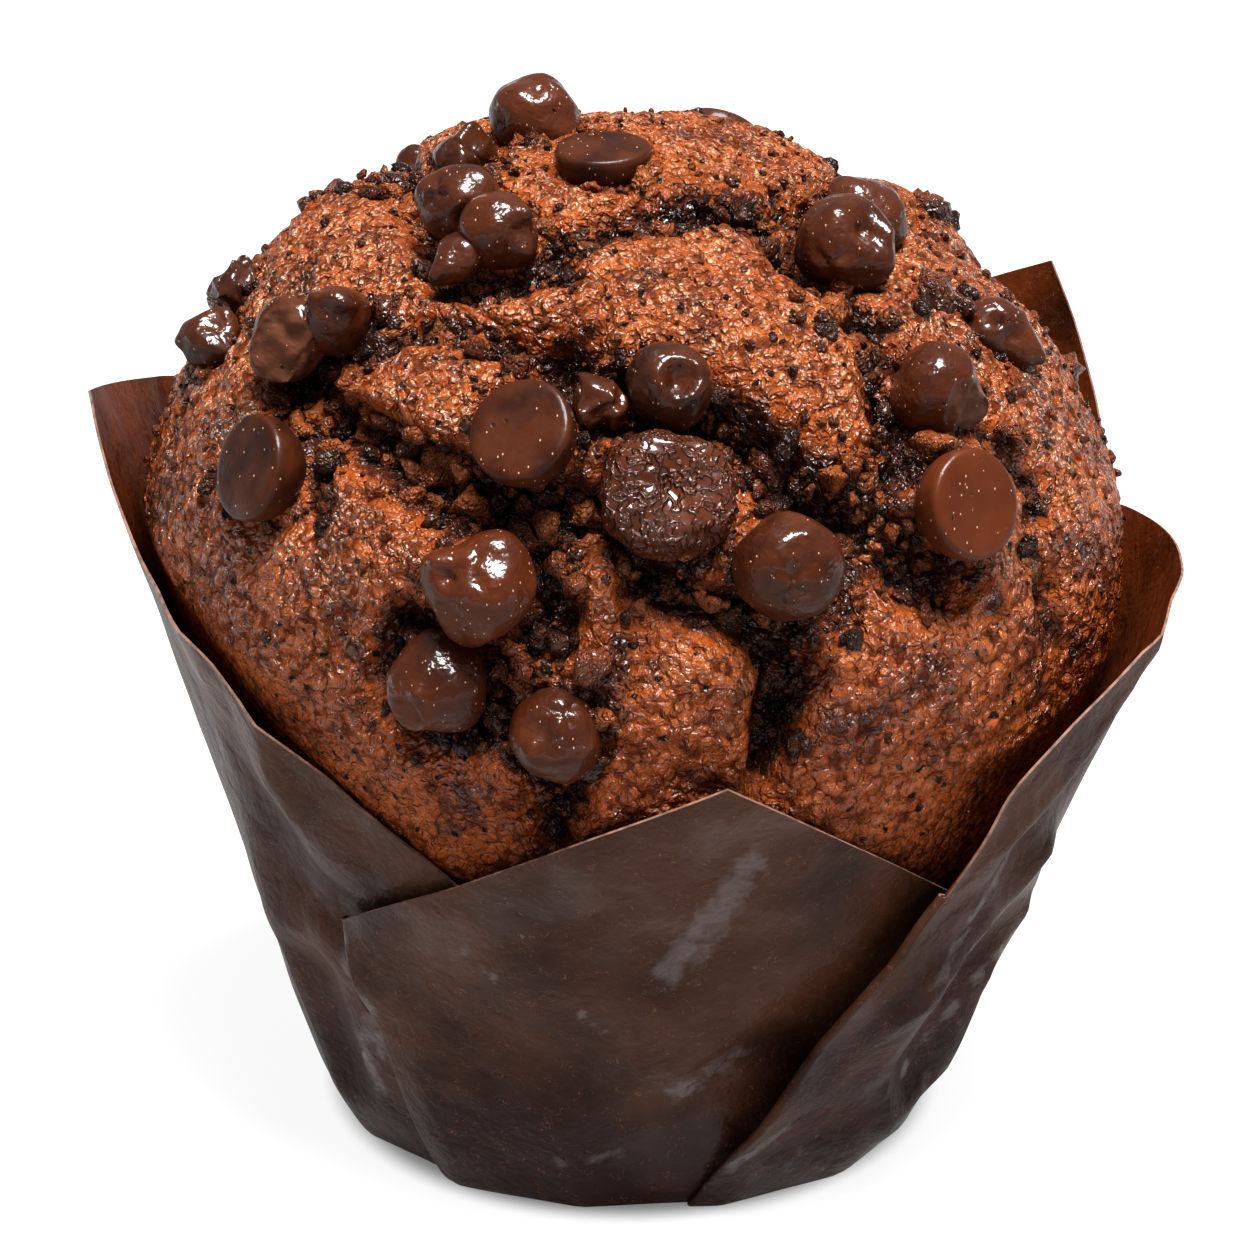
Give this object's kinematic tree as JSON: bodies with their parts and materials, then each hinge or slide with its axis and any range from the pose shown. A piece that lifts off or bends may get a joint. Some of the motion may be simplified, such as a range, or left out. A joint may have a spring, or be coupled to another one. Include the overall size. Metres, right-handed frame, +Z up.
{
  "type": "muffin",
  "caption": "Chocolate muffin with a cracked, risen dome set with chocolate chips, baked in a dark folded tulip paper case, to be eaten in the hand.",
  "frame": {"origin": "centre of the paper case's base, on the surface the muffin stands on", "axes": "+Z up, -Y towards the front panel of the case, +X to its right"},
  "size_m": [0.0886, 0.0881, 0.0858],
  "materials": {
    "crust": "baked chocolate sponge crust, finely granular, slightly moist",
    "paper": "dark brown greaseproof baking paper with a soft satin sheen",
    "chocolate": "dark chocolate, warm and half melted, glossy"
  },
  "bodies": {
    "root": {"cake": "crust", "case": "paper", "chip_crest": "chocolate", "chip_top_flat": "chocolate", "chip_cluster_high": "chocolate", "chip_cluster_low": "chocolate", "chip_cluster_drip": "chocolate", "chip_crown_left": "chocolate", "chip_pair_broken": "chocolate", "chip_pair_drop": "chocolate", "chip_left_edge": "chocolate", "chip_left_lump": "chocolate", "chip_left_flat": "chocolate", "chip_mid_flat": "chocolate", "chip_mid_bit": "chocolate", "chip_dimple": "chocolate", "chip_melted": "chocolate", "chip_round": "chocolate", "chip_right_flat": "chocolate", "chip_right_drop": "chocolate", "chip_shoulder": "chocolate", "chip_shoulder_flat": "chocolate", "chip_right_edge": "chocolate", "chip_heart_drop": "chocolate", "chip_chin_drop": "chocolate", "chip_chin_sunk": "chocolate", "chip_rear_a": "chocolate", "chip_rear_b": "chocolate", "chip_rear_c": "chocolate", "chip_rear_d": "chocolate", "chip_rear_e": "chocolate", "chip_rear_f": "chocolate", "chip_rear_g": "chocolate", "chip_rear_h": "chocolate"}
  },
  "joints": []
}
